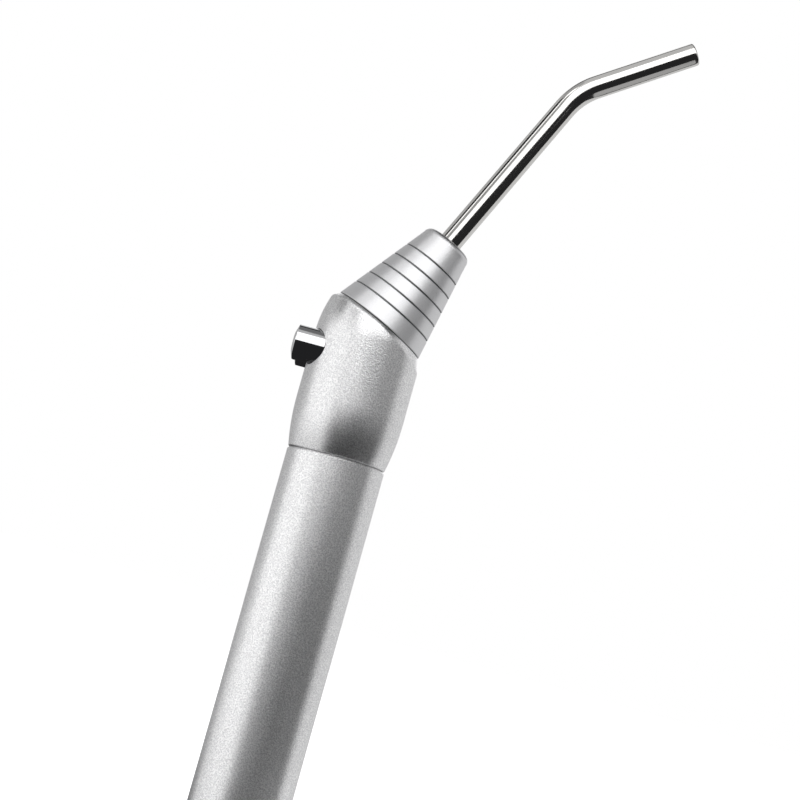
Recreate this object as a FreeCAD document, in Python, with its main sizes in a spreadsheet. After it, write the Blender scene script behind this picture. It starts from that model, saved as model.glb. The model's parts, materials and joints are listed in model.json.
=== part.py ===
"""Three-way (air / water) dental syringe, as a parametric document. Millimetres.

Row frame: the origin is the centre of the handle's lower face, where the hose goes in. +Z runs up the
handle's axis, the buttons face -X, and the nozzle leans and bends towards +X.

Pieces are drawn in the frame of the axis they are turned about:
  handle  the row frame
  nozzle  origin in the middle of the head's inclined face, +Z out along the nozzle
  outlet  origin in the middle of the nozzle's free end, +Z along the jet
  air, water  origin on the handle's mid-plane at that button's axis, +Z out through the button
"""

import FreeCAD, Part
import math
import os
import re

import Sketcher
from FreeCAD import Vector

DIMENSIONS = {
    # handle
    "sleeve_radius": 8.25,
    "sleeve_bore": 7.2,
    "seam_height": 92.0,
    "sleeve_edge": 0.3,
    "seam_gap": 0.06,
    # rear end of the handle
    "hose_bore": 4.75,
    "bush_length": 10.5,
    "bush_lip": 1.2,
    "bush_lip_radius": 7.9,
    "bush_lip_round": 0.6,
    "connector_low": 19.0,
    "connector_high": 26.0,
    "barb_spacing": 2.7,
    "barb_tip": 11.0,
    "barb_collar": 18.0,
    "barb_shank": 1.4,
    "barb_shank_top": 22.0,
    "barb_step": 0.3,
    "supply_forward": 1.0,
    "supply_radius": 1.2,
    "supply_bore": 0.85,
    "supply_low": 23.0,
    "supply_high": 84.0,
    # head
    "head_radius": 9.1,
    "head_foot_radius": 8.22,
    "head_flare_height": 8.5,
    "head_ease_height": 19.6,
    "head_ease_arc": 20.5,
    "head_ease_top": 28.0,
    "head_bore": 7.7,
    "head_wall": 1.8,
    "shoulder_radius": 8.5,
    "shoulder_slope": 0.78,
    "shoulder_depth": 30.0,
    "shoulder_round": 0.9,
    # nozzle axis
    "seat_height": 23.2,
    "seat_forward": 0.8,
    "nozzle_tilt": 24.8,
    # nut
    "nut_radius": 8.55,
    "nut_taper": 13.3,
    "nut_length": 18.3,
    "nut_gap": 0.12,
    "nut_edge": 0.15,
    "nut_top_round": 1.2,
    "nut_bore": 2.3,
    "nut_skirt_bore": 6.5,
    "nut_skirt_top": 1.6,
    "nut_recess": 4.4,
    "nut_recess_top": 9.7,
    "washer_radius": 4.2,
    "washer_low": 8.6,
    "washer_high": 9.6,
    "groove_first": 3.28,
    "groove_pitch": 2.555,
    "groove_half_width": 0.16,
    "groove_depth": 0.3,
    "thread_radius": 5.0,
    "thread_play": 0.06,
    "thread_chamfer": 0.4,
    "thread_top": 7.8,
    "flange_radius": 6.2,
    "flange_height": 1.2,
    # nozzle
    "tube_radius": 1.93,
    "tube_bore": 1.58,
    "tube_start": -2.3,
    "tube_air_hole": 0.45,
    "tube_air_height": 0.2,
    "bend_vertex": 51.7,
    "bend_angle": 31.3,
    "bend_arc": 12.0,
    "outlet_run": 20.9,
    "outlet_round": 0.3,
    "water_radius": 0.8,
    "water_bore": 0.5,
    "water_start": -4.4,
    "water_setback": 0.3,
    "running_gap": 0.05,
    "close_gap": 0.02,
    "press_gap": 0.01,
    "plug_low": -2.6,
    "plug_length": 2.2,
    "plug_hole": 0.25,
    "ferrule_lip": 0.3,
    "ferrule_length": 1.5,
    # socket
    "spigot_radius": 3.0,
    "spigot_end": -3.3,
    "nose_radius": 1.9,
    "nose_end": -4.6,
    "socket_clearance": 0.35,
    "water_clearance": 0.2,
    "rear_seal_wire": 0.35,
    "rear_seal_height": -3.775,
    "rear_groove_half": 0.375,
    "front_seal_wire": 0.5,
    "air_port_radius": 0.4,
    "air_port_height": -2.4,
    "collet_bore": 3.2,
    "collet_seat": 3.6,
    "collet_foot": 4.8,
    "collet_play": 0.08,
    "collet_head": 3.7,
    "collet_head_low": 7.9,
    "collet_head_top": 8.5,
    "collet_bevel": 0.3,
    "collet_slot": 0.5,
    "collet_slot_top": 7.2,
    # buttons and valves, measured out from the handle's mid-plane
    "button_height": 16.75,
    "button_spacing": 3.6,
    "button_radius": 3.0,
    "button_face": 11.65,
    "button_rim": 6.2,
    "button_skirt_bore": 2.45,
    "button_ceiling": 9.9,
    "button_bevel_width": 1.1,
    "button_bevel_height": 0.4,
    "button_hole": 3.1,
    "button_cap": 0.65,
    "pocket_floor": 4.0,
    "guide_radius": 2.2,
    "guide_boss": 1.85,
    "guide_bevel": 0.2,
    "guide_top": 7.5,
    "guide_port": 0.35,
    "guide_port_height": 1.1,
    "gallery_low": 0.4,
    "gallery_high": 1.8,
    "gallery_depth": 0.4,
    "gland_wire": 0.28,
    "gland_top": 1.25,
    "gland_low": 1.9,
    "gland_depth": 0.62,
    "valve_seat": 1.7,
    "valve_opening": 0.15,
    "stem_radius": 0.8,
    "stem_neck": 0.6,
    "stem_end": -2.7,
    "poppet_radius": 1.25,
    "poppet_low": -2.1,
    "poppet_high": -0.66,
    "poppet_wire": 0.32,
    "chamber_radius": 1.5,
    "chamber_end": -3.2,
    "spring_mean_radius": 2.14,
    "spring_wire": 0.16,
    "spring_low": 4.2,
    "spring_high": 9.7,
    "spring_turns": 6,
    # valve body
    "body_radius": 7.6,
    "body_spigot": 7.1,
    "body_foot": 80.0,
    "body_top_gap": 0.1,
    "body_groove": 0.8,
    "body_groove_low": 2.1,
    "body_groove_high": 3.1,
    "body_seal_wire": 0.42,
    "way_start": 2.8,
    "water_way_end": -5.2,
    "air_way_aside": 2.9,
}

GROOVES = 5
BARB_TEETH = 3
COLLET_CUTS = 2
SPRAY_HOLES = 6

doc = FreeCAD.newDocument("ThreeWaySyringe")
sheet = doc.addObject("Spreadsheet::Sheet", "Dims")
for row, (alias, value) in enumerate(DIMENSIONS.items(), start=1):
    sheet.set(f"A{row}", alias)
    sheet.set(f"B{row}", str(value))
    sheet.setAlias(f"B{row}", alias)
doc.recompute()

nodes = []


# ---------------------------------------------------------------- helpers

def bound(text):
    """An expression for setExpression: every alias in the text gets the sheet's name in front."""
    def prefix(match):
        word = match.group(0)
        return f"Dims.{word}" if word in DIMENSIONS else word
    return re.sub(r"[A-Za-z_]+", prefix, str(text))


def value_of(text):
    """The number that the expression gives now."""
    number = sheet.evalExpression(bound(text))
    return float(getattr(number, "Value", number))


TILT = "nozzle_tilt * 1 deg"
OUTLET_TILT = "(nozzle_tilt + bend_angle) * 1 deg"
SEAT_Z = "(seam_height + seat_height)"
BUTTON_Z = "(seam_height + button_height)"
OUTLET_X = f"(seat_forward + bend_vertex * sin({TILT}) + outlet_run * sin({OUTLET_TILT}))"
OUTLET_Z = f"({SEAT_Z} + bend_vertex * cos({TILT}) + outlet_run * cos({OUTLET_TILT}))"
# each frame: its origin, the angle that turns its +Z from the row's +Z about Y, and its +Z direction
FRAMES = {
    "handle": (("0", "0", "0"), "0", ("0", "0", "1")),
    "nozzle": (
        ("seat_forward", "0", SEAT_Z), "nozzle_tilt", (f"sin({TILT})", "0", f"cos({TILT})"),
    ),
    "outlet": (
        (OUTLET_X, "0", OUTLET_Z), "(nozzle_tilt + bend_angle)",
        (f"sin({OUTLET_TILT})", "0", f"cos({OUTLET_TILT})"),
    ),
    "air": (("0", "button_spacing", BUTTON_Z), "-90", ("-1", "0", "0")),
    "water": (("0", "-button_spacing", BUTTON_Z), "-90", ("-1", "0", "0")),
}


def place(obj, frame, along="0", shift=("0", "0")):
    """Binds an object's Placement: in the frame, moved along its +Z, and by (x, y) in the row frame."""
    origin, angle, axis = FRAMES[frame]
    obj.Placement = FreeCAD.Placement(Vector(0, 0, 0), FreeCAD.Rotation(Vector(0, 1, 0), 0.0))
    moves = (shift[0], shift[1], "0")
    for letter, start, step, move in zip("xyz", origin, axis, moves):
        obj.setExpression(f"Placement.Base.{letter}", bound(f"{start} + ({along}) * ({step}) + ({move})"))
    obj.setExpression("Placement.Rotation.Angle", bound(angle))
    return obj


def origin_plane(body, role):
    return next(feature for feature in body.Origin.OriginFeatures if feature.Role == role)


def add_segment(sketch, start, end, arc):
    """A line, or an arc of the given (radius, turn); turn is 1 for left and -1 for right."""
    if arc is None:
        index = sketch.addGeometry(Part.LineSegment(start, end), False)
        return index, 1, 2
    radius, turn = value_of(arc[0]), arc[1]
    chord = end - start
    half = chord.Length / 2
    left = Vector(-chord.y, chord.x, 0).normalize()
    centre = (start + end) * 0.5 + left * turn * math.sqrt(radius**2 - half**2)
    first, last = (start, end) if turn > 0 else (end, start)
    angles = [math.atan2(point.y - centre.y, point.x - centre.x) for point in (first, last)]
    circle = Part.Circle(centre, Vector(0, 0, 1), radius)
    index = sketch.addGeometry(Part.ArcOfCircle(circle, angles[0], angles[1]), False)
    constraint = sketch.addConstraint(Sketcher.Constraint("Radius", index, radius))
    sketch.setExpression(f"Constraints[{constraint}]", bound(arc[0]))
    return (index, 1, 2) if turn > 0 else (index, 2, 1)


def pin_point(sketch, index, vertex, across, up):
    """Fixes a vertex at (across, up) by expressions, or on an axis where one of them is plain zero."""
    for kind, text, axis in (("DistanceX", across, -2), ("DistanceY", up, -1)):
        if text == "0":
            sketch.addConstraint(Sketcher.Constraint("PointOnObject", index, vertex, axis))
            continue
        constraint = sketch.addConstraint(
            Sketcher.Constraint(kind, -1, 1, index, vertex, value_of(text))
        )
        sketch.setExpression(f"Constraints[{constraint}]", bound(text))


def outline(sketch, points, closed=True):
    """Draws an outline through (across, up[, radius, turn]) points; the extra pair makes an arc."""
    places = [Vector(value_of(p[0]), value_of(p[1]), 0) for p in points]
    ends = list(range(1, len(points))) + ([0] if closed else [])
    segments = []
    for end in ends:
        arc = points[end][2:4] if len(points[end]) > 2 else None
        segments.append(add_segment(sketch, places[end - 1], places[end], arc))
    for number, end in enumerate(ends):
        index, first, last = segments[number]
        if number == 0:
            pin_point(sketch, index, first, points[end - 1][0], points[end - 1][1])
        if end != 0:
            pin_point(sketch, index, last, points[end][0], points[end][1])
        following = segments[(number + 1) % len(segments)]
        if closed or number + 1 < len(segments):
            sketch.addConstraint(
                Sketcher.Constraint("Coincident", index, last, following[0], following[1])
            )


def sketch_in(body, name, role):
    sketch = body.newObject("Sketcher::SketchObject", name)
    sketch.AttachmentSupport = [(origin_plane(body, role), "")]
    sketch.MapMode = "FlatFace"
    return sketch


def turned(label, frame, profile):
    """A lathe-turned piece: a closed (radius, height) outline revolved about the frame's +Z."""
    body = doc.addObject("PartDesign::Body", label)
    sketch = sketch_in(body, f"{label}_outline", "XZ_Plane")
    outline(sketch, profile)
    revolution = body.newObject("PartDesign::Revolution", f"{label}_turning")
    revolution.Profile = sketch
    revolution.ReferenceAxis = (sketch, ["V_Axis"])
    revolution.Angle = 360.0
    sketch.Visibility = False
    return place(body, frame)


def tube_profile(bore, radius, low, high):
    return [(bore, low), (radius, low), (radius, high), (bore, high)]


def circles(sketch, centres, radius):
    for across, up in centres:
        centre = Vector(value_of(across), value_of(up), 0)
        index = sketch.addGeometry(Part.Circle(centre, Vector(0, 0, 1), value_of(radius)), False)
        pin_point(sketch, index, 3, across, up)
        constraint = sketch.addConstraint(Sketcher.Constraint("Radius", index, value_of(radius)))
        sketch.setExpression(f"Constraints[{constraint}]", bound(radius))


def cylinder(name, frame, radius, low, high, shift=("0", "0")):
    """A plain cylinder on a frame's axis from low to high, used as a blank or as a drill."""
    rod = doc.addObject("Part::Cylinder", name)
    rod.setExpression("Radius", bound(radius))
    rod.setExpression("Height", bound(f"({high}) - ({low})"))
    return place(rod, frame, low, shift)


def ring(label, frame, mean_radius, section, along):
    """An O-ring."""
    torus = doc.addObject("Part::Torus", label)
    torus.setExpression("Radius1", bound(mean_radius))
    torus.setExpression("Radius2", bound(section))
    return place(torus, frame, along)


def passage(name, radius, start, end):
    """A straight drilling between two points of the row frame."""
    drill = doc.addObject("Part::Feature", name)
    way = end - start
    drill.Shape = Part.makeCylinder(value_of(radius), way.Length, start, way)
    return drill


def frame_point(frame, along, aside="0"):
    """The row-frame point on a frame's axis, moved aside along Y."""
    origin, _, axis = FRAMES[frame]
    centre = Vector(*(value_of(text) for text in origin))
    direction = Vector(*(value_of(text) for text in axis))
    return centre + direction * value_of(along) + Vector(0, value_of(aside), 0)


def combined(kind, name, base, tools):
    """base minus tools for Part::Cut, or what base and the one tool share for Part::Common."""
    if len(tools) > 1:
        tool = doc.addObject("Part::MultiFuse", f"{name}_tools")
        tool.Shapes = tools
    else:
        tool = tools[0]
    result = doc.addObject(kind, name)
    result.Base = base
    result.Tool = tool
    return result


def keep(obj, label):
    """Names a finished sub-part."""
    obj.Label = label
    nodes.append(obj)
    return obj


# ---------------------------------------------------------------- handle

def make_handle():
    keep(turned("sleeve", "handle", [
        ("sleeve_bore", "bush_lip"),
        ("sleeve_radius - sleeve_edge", "bush_lip"),
        ("sleeve_radius", "bush_lip + sleeve_edge"),
        ("sleeve_radius", "seam_height - sleeve_edge"),
        ("sleeve_radius - sleeve_edge", "seam_height"),
        ("sleeve_bore", "seam_height"),
    ]), "handle_sleeve")
    keep(turned("bush", "handle", [
        ("hose_bore", "0"),
        ("bush_lip_radius - bush_lip_round", "0"),
        ("bush_lip_radius", "bush_lip_round", "bush_lip_round", 1),
        ("bush_lip_radius", "bush_lip"),
        ("sleeve_bore - running_gap", "bush_lip"),
        ("sleeve_bore - running_gap", "bush_length - sleeve_edge"),
        ("sleeve_bore - running_gap - sleeve_edge", "bush_length"),
        ("hose_bore", "bush_length"),
    ]), "rear_bush")
    middle = "body_foot + (body_groove_low + body_groove_high) / 2"
    radius = "body_spigot - body_groove + body_seal_wire"
    keep(ring("sleeve_seal", "handle", radius, "body_seal_wire", middle), "sleeve_o_ring")


def make_connector():
    """The brass block in the sleeve's lower end: supply tubes above, hose barbs below."""
    blank = turned("connector_blank", "handle", [
        ("0", "connector_low"),
        ("sleeve_bore - running_gap - sleeve_edge", "connector_low"),
        ("sleeve_bore - running_gap", "connector_low + sleeve_edge"),
        ("sleeve_bore - running_gap", "connector_high - sleeve_edge"),
        ("sleeve_bore - running_gap - sleeve_edge", "connector_high"),
        ("0", "connector_high"),
    ])
    drills = []
    for side, sign in (("air", ""), ("water", "-")):
        over = ("supply_forward", f"{sign}button_spacing")
        under = ("0", f"{sign}barb_spacing")
        drills += [
            cylinder(f"{side}_seat", "handle", "supply_radius", "supply_low", "connector_high + 1", over),
            cylinder(f"{side}_way", "handle", "supply_bore", "barb_shank_top - 0.5", "supply_low", over),
            cylinder(f"{side}_socket", "handle", "barb_shank", "connector_low - 1", "barb_shank_top", under),
        ]
    keep(combined("Part::Cut", "connector", blank, drills), "rear_connector")


def make_barb(side, sign, tooth_radius, bore):
    """A hose barb: a shank in the connector and three teeth, each a cone that opens away from the tip."""
    tooth_height = f"(barb_collar - barb_tip) / {BARB_TEETH}"
    profile = [(bore, "barb_tip")]
    for tooth in range(BARB_TEETH):
        low = f"(barb_tip + {tooth} * {tooth_height})"
        profile += [
            (f"{tooth_radius} - barb_step", low),
            (tooth_radius, f"{low} + 0.75 * {tooth_height}"),
        ]
    profile += [
        (f"{tooth_radius} - barb_step", "barb_collar"),
        (f"{tooth_radius} - barb_step", "connector_low"),
        ("barb_shank", "connector_low"),
        ("barb_shank", "barb_shank_top"),
        (bore, "barb_shank_top"),
    ]
    barb = turned(f"barb_{side}", "handle", profile)
    place(barb, "handle", "0", ("0", f"{sign}barb_spacing"))
    keep(barb, f"hose_barb_{side}")


def make_supply(side, sign):
    tube = turned(
        f"supply_{side}", "handle",
        tube_profile("supply_bore", "supply_radius", "supply_low", "supply_high"),
    )
    place(tube, "handle", "0", ("supply_forward", f"{sign}button_spacing"))
    keep(tube, f"{side}_supply_tube")


# ---------------------------------------------------------------- head

def make_head_shell():
    """The casing: a shape turned about the handle, topped by one turned about the nozzle, then hollowed."""
    flare_foot = "(seam_gap + sleeve_edge / 2)"
    flare_rise = f"(head_flare_height - {flare_foot})"
    flare_out = "(head_radius - head_foot_radius)"
    flare_arc = f"({flare_rise}^2 + {flare_out}^2) / (2 * {flare_out})"
    ease_rise = "(head_ease_top - head_ease_height)"
    barrel = turned("head_barrel", "handle", [
        ("0", "seam_height + seam_gap"),
        ("head_foot_radius - sleeve_edge / 2", "seam_height + seam_gap"),
        ("head_foot_radius", f"seam_height + {flare_foot}"),
        ("head_radius", "seam_height + head_flare_height", flare_arc, 1),
        ("head_radius", "seam_height + head_ease_height"),
        (
            f"head_radius - head_ease_arc + sqrt(head_ease_arc^2 - {ease_rise}^2)",
            "seam_height + head_ease_top", "head_ease_arc", 1,
        ),
        ("0", "seam_height + head_ease_top"),
    ])
    top = turned("head_top", "nozzle", [
        ("0", "-shoulder_depth"),
        ("shoulder_radius + shoulder_depth * shoulder_slope", "-shoulder_depth"),
        ("shoulder_radius", "0"),
        ("0", "0"),
    ])
    block = combined("Part::Common", "head_block", barrel, [top])
    doc.recompute()
    rounded = doc.addObject("Part::Fillet", "head_rounded")
    rounded.Base = block
    radius = value_of("shoulder_round")
    rounded.Edges = [(number, radius, radius) for number in shoulder_edges(block.Shape)]
    bore_top = "seam_height + head_ease_top"
    bore = cylinder("head_bore_blank", "handle", "head_bore", "seam_height - 1", bore_top)
    below = cylinder("head_bore_limit", "nozzle", "shoulder_depth", "-2 * shoulder_depth", "-head_wall")
    cavity = combined("Part::Common", "head_cavity", bore, [below])
    openings = [
        cavity,
        cylinder("head_spigot_hole", "nozzle", "spigot_radius + running_gap", "-head_wall - 1", "1"),
        cylinder("head_air_hole", "air", "button_hole", "pocket_floor - 1", "head_radius + 3"),
        cylinder("head_water_hole", "water", "button_hole", "pocket_floor - 1", "head_radius + 3"),
    ]
    keep(combined("Part::Cut", "head", rounded, openings), "head_shell")


def shoulder_edges(shape):
    """The edges between the inclined shoulder's cone and the barrel, without the rim of the inclined face."""
    found = []
    for number, edge in enumerate(shape.Edges, start=1):
        surfaces = {type(face.Surface) for face in shape.ancestorsOfType(edge, Part.Face)}
        high = edge.CenterOfMass.z > value_of(BUTTON_Z)
        if high and Part.Cone in surfaces and Part.Plane not in surfaces and len(surfaces) > 1:
            found.append(number)
    return found


def make_valve_body():
    blank = turned("body_blank", "handle", [
        ("0", "body_foot"),
        ("body_spigot - sleeve_edge", "body_foot"),
        ("body_spigot", "body_foot + sleeve_edge"),
        ("body_spigot", "body_foot + body_groove_low"),
        ("body_spigot - body_groove", "body_foot + body_groove_low"),
        ("body_spigot - body_groove", "body_foot + body_groove_high"),
        ("body_spigot", "body_foot + body_groove_high"),
        ("body_spigot", "seam_height + seam_gap"),
        ("body_radius", "seam_height + seam_gap"),
        ("body_radius", "seam_height + head_ease_top"),
        ("0", "seam_height + head_ease_top"),
    ])
    limit = "-head_wall - body_top_gap"
    below = cylinder("body_limit", "nozzle", "2 * shoulder_depth", "-2 * shoulder_depth", limit)
    block = combined("Part::Common", "body_block", blank, [below])
    water_way = [frame_point("water", "way_start"), frame_point("nozzle", "water_way_end")]
    air_way = [frame_point("air", "way_start"), frame_point("nozzle", "air_port_height", "air_way_aside")]
    drills = [
        cylinder("body_spigot_hole", "nozzle", "spigot_radius + close_gap", "spigot_end - running_gap", "5"),
        cylinder("body_nose_hole", "nozzle", "nose_radius + close_gap", "nose_end - running_gap", "5"),
        cylinder("body_water_port", "nozzle", "water_bore", "nose_end - 1", "nose_end"),
        passage("body_water_way", "water_bore", *water_way),
        passage("body_air_way", "water_bore", *air_way),
    ]
    for side, sign in (("air", ""), ("water", "-")):
        over = ("supply_forward", f"{sign}button_spacing")
        gallery = ("valve_seat + gallery_low + 0.2", "valve_seat + gallery_high - 0.2")
        drills += [
            cylinder(f"body_{side}_pocket", side, "button_hole", "pocket_floor", "head_radius + 1"),
            cylinder(f"body_{side}_gland", side, "guide_radius + close_gap", "valve_seat", "head_radius"),
            cylinder(f"body_{side}_gallery", side, "guide_radius + gallery_depth", *gallery),
            cylinder(f"body_{side}_chamber", side, "chamber_radius", "chamber_end", "head_radius"),
            cylinder(f"body_{side}_supply", "handle", "supply_bore", "body_foot + 3", BUTTON_Z, over),
            cylinder(f"body_{side}_seat", "handle", "supply_radius", "body_foot - 1", "supply_high", over),
        ]
    keep(combined("Part::Cut", "body", block, drills), "valve_body")


# ---------------------------------------------------------------- button valves

def make_button(side):
    """A cup with a bevelled face; the stem is pressed into it and the spring pushes on its ceiling."""
    keep(turned(f"cap_{side}", side, [
        ("stem_radius", "button_ceiling"),
        ("button_skirt_bore", "button_ceiling"),
        ("button_skirt_bore", "button_rim"),
        ("button_radius", "button_rim"),
        ("button_radius", "button_face - button_bevel_height"),
        ("button_radius - button_bevel_width", "button_face"),
        ("0", "button_face"),
        ("0", "button_face - button_cap"),
        ("stem_radius", "button_face - button_cap"),
    ]), f"button_{side}")


def make_stem(side):
    keep(turned(f"stem_{side}", side, [
        ("0", "valve_seat + stem_end"),
        ("stem_neck", "valve_seat + stem_end"),
        ("stem_neck", "valve_seat + poppet_low"),
        ("poppet_radius", "valve_seat + poppet_low"),
        ("poppet_radius", "valve_seat + poppet_high"),
        ("stem_neck", "valve_seat + poppet_high"),
        ("stem_neck", "valve_seat + gallery_high - guide_bevel"),
        ("stem_radius", "valve_seat + gallery_high"),
        ("stem_radius", "button_face - button_cap"),
        ("0", "button_face - button_cap"),
    ]), f"valve_stem_{side}")
    radius = "stem_neck + poppet_wire + press_gap"
    height = "valve_seat + poppet_high + poppet_wire"
    keep(ring(f"poppet_seal_{side}", side, radius, "poppet_wire", height), f"stem_o_ring_{side}")


def make_guide(side):
    """The gland screw: seat and gallery at its inner end, a groove for the stem seal in its boss."""
    blank = turned(f"guide_blank_{side}", side, [
        ("stem_radius + valve_opening", "valve_seat"),
        ("guide_radius", "valve_seat"),
        ("guide_radius", "pocket_floor"),
        ("guide_boss", "pocket_floor"),
        ("guide_boss", "guide_top - guide_bevel"),
        ("guide_boss - guide_bevel", "guide_top"),
        ("stem_radius + running_gap", "guide_top"),
        ("stem_radius + running_gap", "guide_top - gland_top"),
        ("stem_radius + gland_depth", "guide_top - gland_top"),
        ("stem_radius + gland_depth", "guide_top - gland_low"),
        ("stem_radius + running_gap", "guide_top - gland_low"),
        ("stem_radius + running_gap", "valve_seat + gallery_high"),
        ("poppet_radius", "valve_seat + gallery_high"),
        ("poppet_radius", "valve_seat + gallery_low"),
        ("stem_radius + valve_opening", "valve_seat + gallery_low"),
    ])
    cross = doc.addObject("Part::Cylinder", f"guide_port_{side}")
    cross.setExpression("Radius", bound("guide_port"))
    cross.setExpression("Height", bound("2 * guide_radius + 2"))
    cross.Placement = FreeCAD.Placement(Vector(0, 0, 0), FreeCAD.Rotation(Vector(0, 0, 1), 0.0))
    cross.setExpression("Placement.Base.x", bound("-(valve_seat + guide_port_height)"))
    cross.setExpression("Placement.Base.y", bound(FRAMES[side][0][1]))
    cross.setExpression("Placement.Base.z", bound(f"{BUTTON_Z} - guide_radius - 1"))
    keep(combined("Part::Cut", f"guide_{side}", blank, [cross]), f"button_guide_{side}")
    radius = "stem_radius + running_gap + gland_wire"
    height = "guide_top - (gland_top + gland_low) / 2"
    keep(ring(f"gland_seal_{side}", side, radius, "gland_wire", height), f"gland_o_ring_{side}")


def make_spring(side):
    body = doc.addObject("PartDesign::Body", f"spring_{side}")
    sketch = sketch_in(body, f"spring_wire_{side}", "XZ_Plane")
    circles(sketch, [("spring_mean_radius", "spring_low")], "spring_wire")
    coil = body.newObject("PartDesign::AdditiveHelix", f"spring_coil_{side}")
    coil.Profile = sketch
    coil.ReferenceAxis = (sketch, ["V_Axis"])
    coil.Mode = "height-turns-angle"
    coil.setExpression("Height", bound("spring_high - spring_low"))
    coil.setExpression("Turns", bound("spring_turns"))
    coil.Angle = 0.0
    sketch.Visibility = False
    place(body, side)
    keep(body, f"return_spring_{side}")


# ---------------------------------------------------------------- nozzle fittings

def make_nozzle_nut():
    """A cone with V grooves; inside, a skirt over the socket's flange, the thread and the washer seat."""
    slope = "tan(nut_taper * 1 deg)"

    def cone_radius(height, depth="0"):
        return f"nut_radius - ({height}) * {slope} - ({depth})"

    profile = [
        ("nut_skirt_bore", "nut_gap"),
        (cone_radius("nut_gap", "nut_edge"), "nut_gap"),
        (cone_radius("nut_gap + nut_edge"), "nut_gap + nut_edge"),
    ]
    for number in range(GROOVES):
        middle = f"(groove_first + {number} * groove_pitch)"
        profile += [
            (cone_radius(f"{middle} - groove_half_width"), f"{middle} - groove_half_width"),
            (cone_radius(middle, "groove_depth"), middle),
            (cone_radius(f"{middle} + groove_half_width"), f"{middle} + groove_half_width"),
        ]
    profile += [
        (cone_radius("nut_length - nut_top_round"), "nut_length - nut_top_round"),
        (
            cone_radius("nut_length - nut_top_round", "nut_top_round"), "nut_length",
            "nut_top_round", 1,
        ),
        ("nut_bore + nut_edge", "nut_length"),
        ("nut_bore", "nut_length - nut_edge"),
        ("nut_bore", "nut_recess_top"),
        ("nut_recess", "nut_recess_top"),
        ("nut_recess", "thread_top + nut_gap"),
        ("thread_radius + thread_play", "thread_top + nut_gap"),
        ("thread_radius + thread_play", "nut_skirt_top"),
        ("nut_skirt_bore", "nut_skirt_top"),
    ]
    keep(turned("nut", "nozzle", profile), "nozzle_nut")
    washer = tube_profile("nut_bore + running_gap", "washer_radius", "washer_low", "washer_high")
    keep(turned("washer", "nozzle", washer), "slip_washer")


def make_nozzle_socket():
    """Spigot in the valve body, flange on the shell, thread for the nut; bored in steps for the seals."""
    water_way = "water_radius + water_clearance"
    rear_groove = "water_radius + 2 * rear_groove_half"
    tube_way = "tube_radius + socket_clearance"
    blank = turned("socket_blank", "nozzle", [
        (water_way, "nose_end"),
        ("nose_radius", "nose_end"),
        ("nose_radius", "spigot_end"),
        ("spigot_radius", "spigot_end"),
        ("spigot_radius", "0"),
        ("flange_radius", "0"),
        ("flange_radius", "flange_height"),
        ("thread_radius", "flange_height"),
        ("thread_radius", "thread_top - thread_chamfer"),
        ("thread_radius - thread_chamfer", "thread_top"),
        ("collet_bore", "thread_top"),
        ("collet_bore", "collet_seat"),
        (tube_way, "collet_seat"),
        (tube_way, "spigot_end + 0.4"),
        (water_way, "spigot_end + 0.4"),
        (water_way, "rear_seal_height + rear_groove_half"),
        (rear_groove, "rear_seal_height + rear_groove_half"),
        (rear_groove, "rear_seal_height - rear_groove_half"),
        (water_way, "rear_seal_height - rear_groove_half"),
    ])
    port_line = [frame_point("nozzle", "air_port_height", aside) for aside in ("0", "spigot_radius + 1")]
    port = passage("socket_air_port", "air_port_radius", *port_line)
    keep(combined("Part::Cut", "socket", blank, [port]), "nozzle_socket")
    radius = "tube_radius + running_gap + press_gap + front_seal_wire"
    height = "collet_seat + running_gap + front_seal_wire"
    keep(ring("front_seal", "nozzle", radius, "front_seal_wire", height), "nozzle_o_ring_front")
    keep(ring("rear_seal", "nozzle", "water_radius + rear_groove_half", "rear_seal_wire", "rear_seal_height"),
         "nozzle_o_ring_rear")


def make_collet():
    """The slotted collet: each cut goes right across it, so two cuts leave four fingers."""
    blank = turned("collet_blank", "nozzle", [
        ("tube_radius + running_gap", "collet_foot"),
        ("collet_bore - collet_play", "collet_foot"),
        ("collet_bore - collet_play", "collet_head_low"),
        ("collet_head", "collet_head_low"),
        ("collet_head", "collet_head_top - collet_bevel"),
        ("collet_head - collet_bevel", "collet_head_top"),
        ("tube_radius + running_gap", "collet_head_top"),
    ])
    slots = []
    for number in range(COLLET_CUTS):
        slot = doc.addObject("Part::Box", f"collet_slot_{number}")
        slot.setExpression("Length", bound("collet_slot"))
        slot.setExpression("Width", bound("4 * collet_bore"))
        slot.setExpression("Height", bound("collet_slot_top - collet_seat"))
        across = FreeCAD.Rotation(Vector(0, 0, 1), 180.0 / COLLET_CUTS * number)
        tilt = FreeCAD.Rotation(Vector(0, 1, 0), value_of("nozzle_tilt"))
        corner = Vector(*(value_of(text) for text in ("-collet_slot / 2", "-2 * collet_bore", "collet_seat")))
        slot.Placement = FreeCAD.Placement(
            frame_point("nozzle", "0") + tilt.multVec(across.multVec(corner)), tilt.multiply(across)
        )
        slots.append(slot)
    keep(combined("Part::Cut", "collet", blank, slots), "nozzle_collet")


# ---------------------------------------------------------------- nozzle

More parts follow.
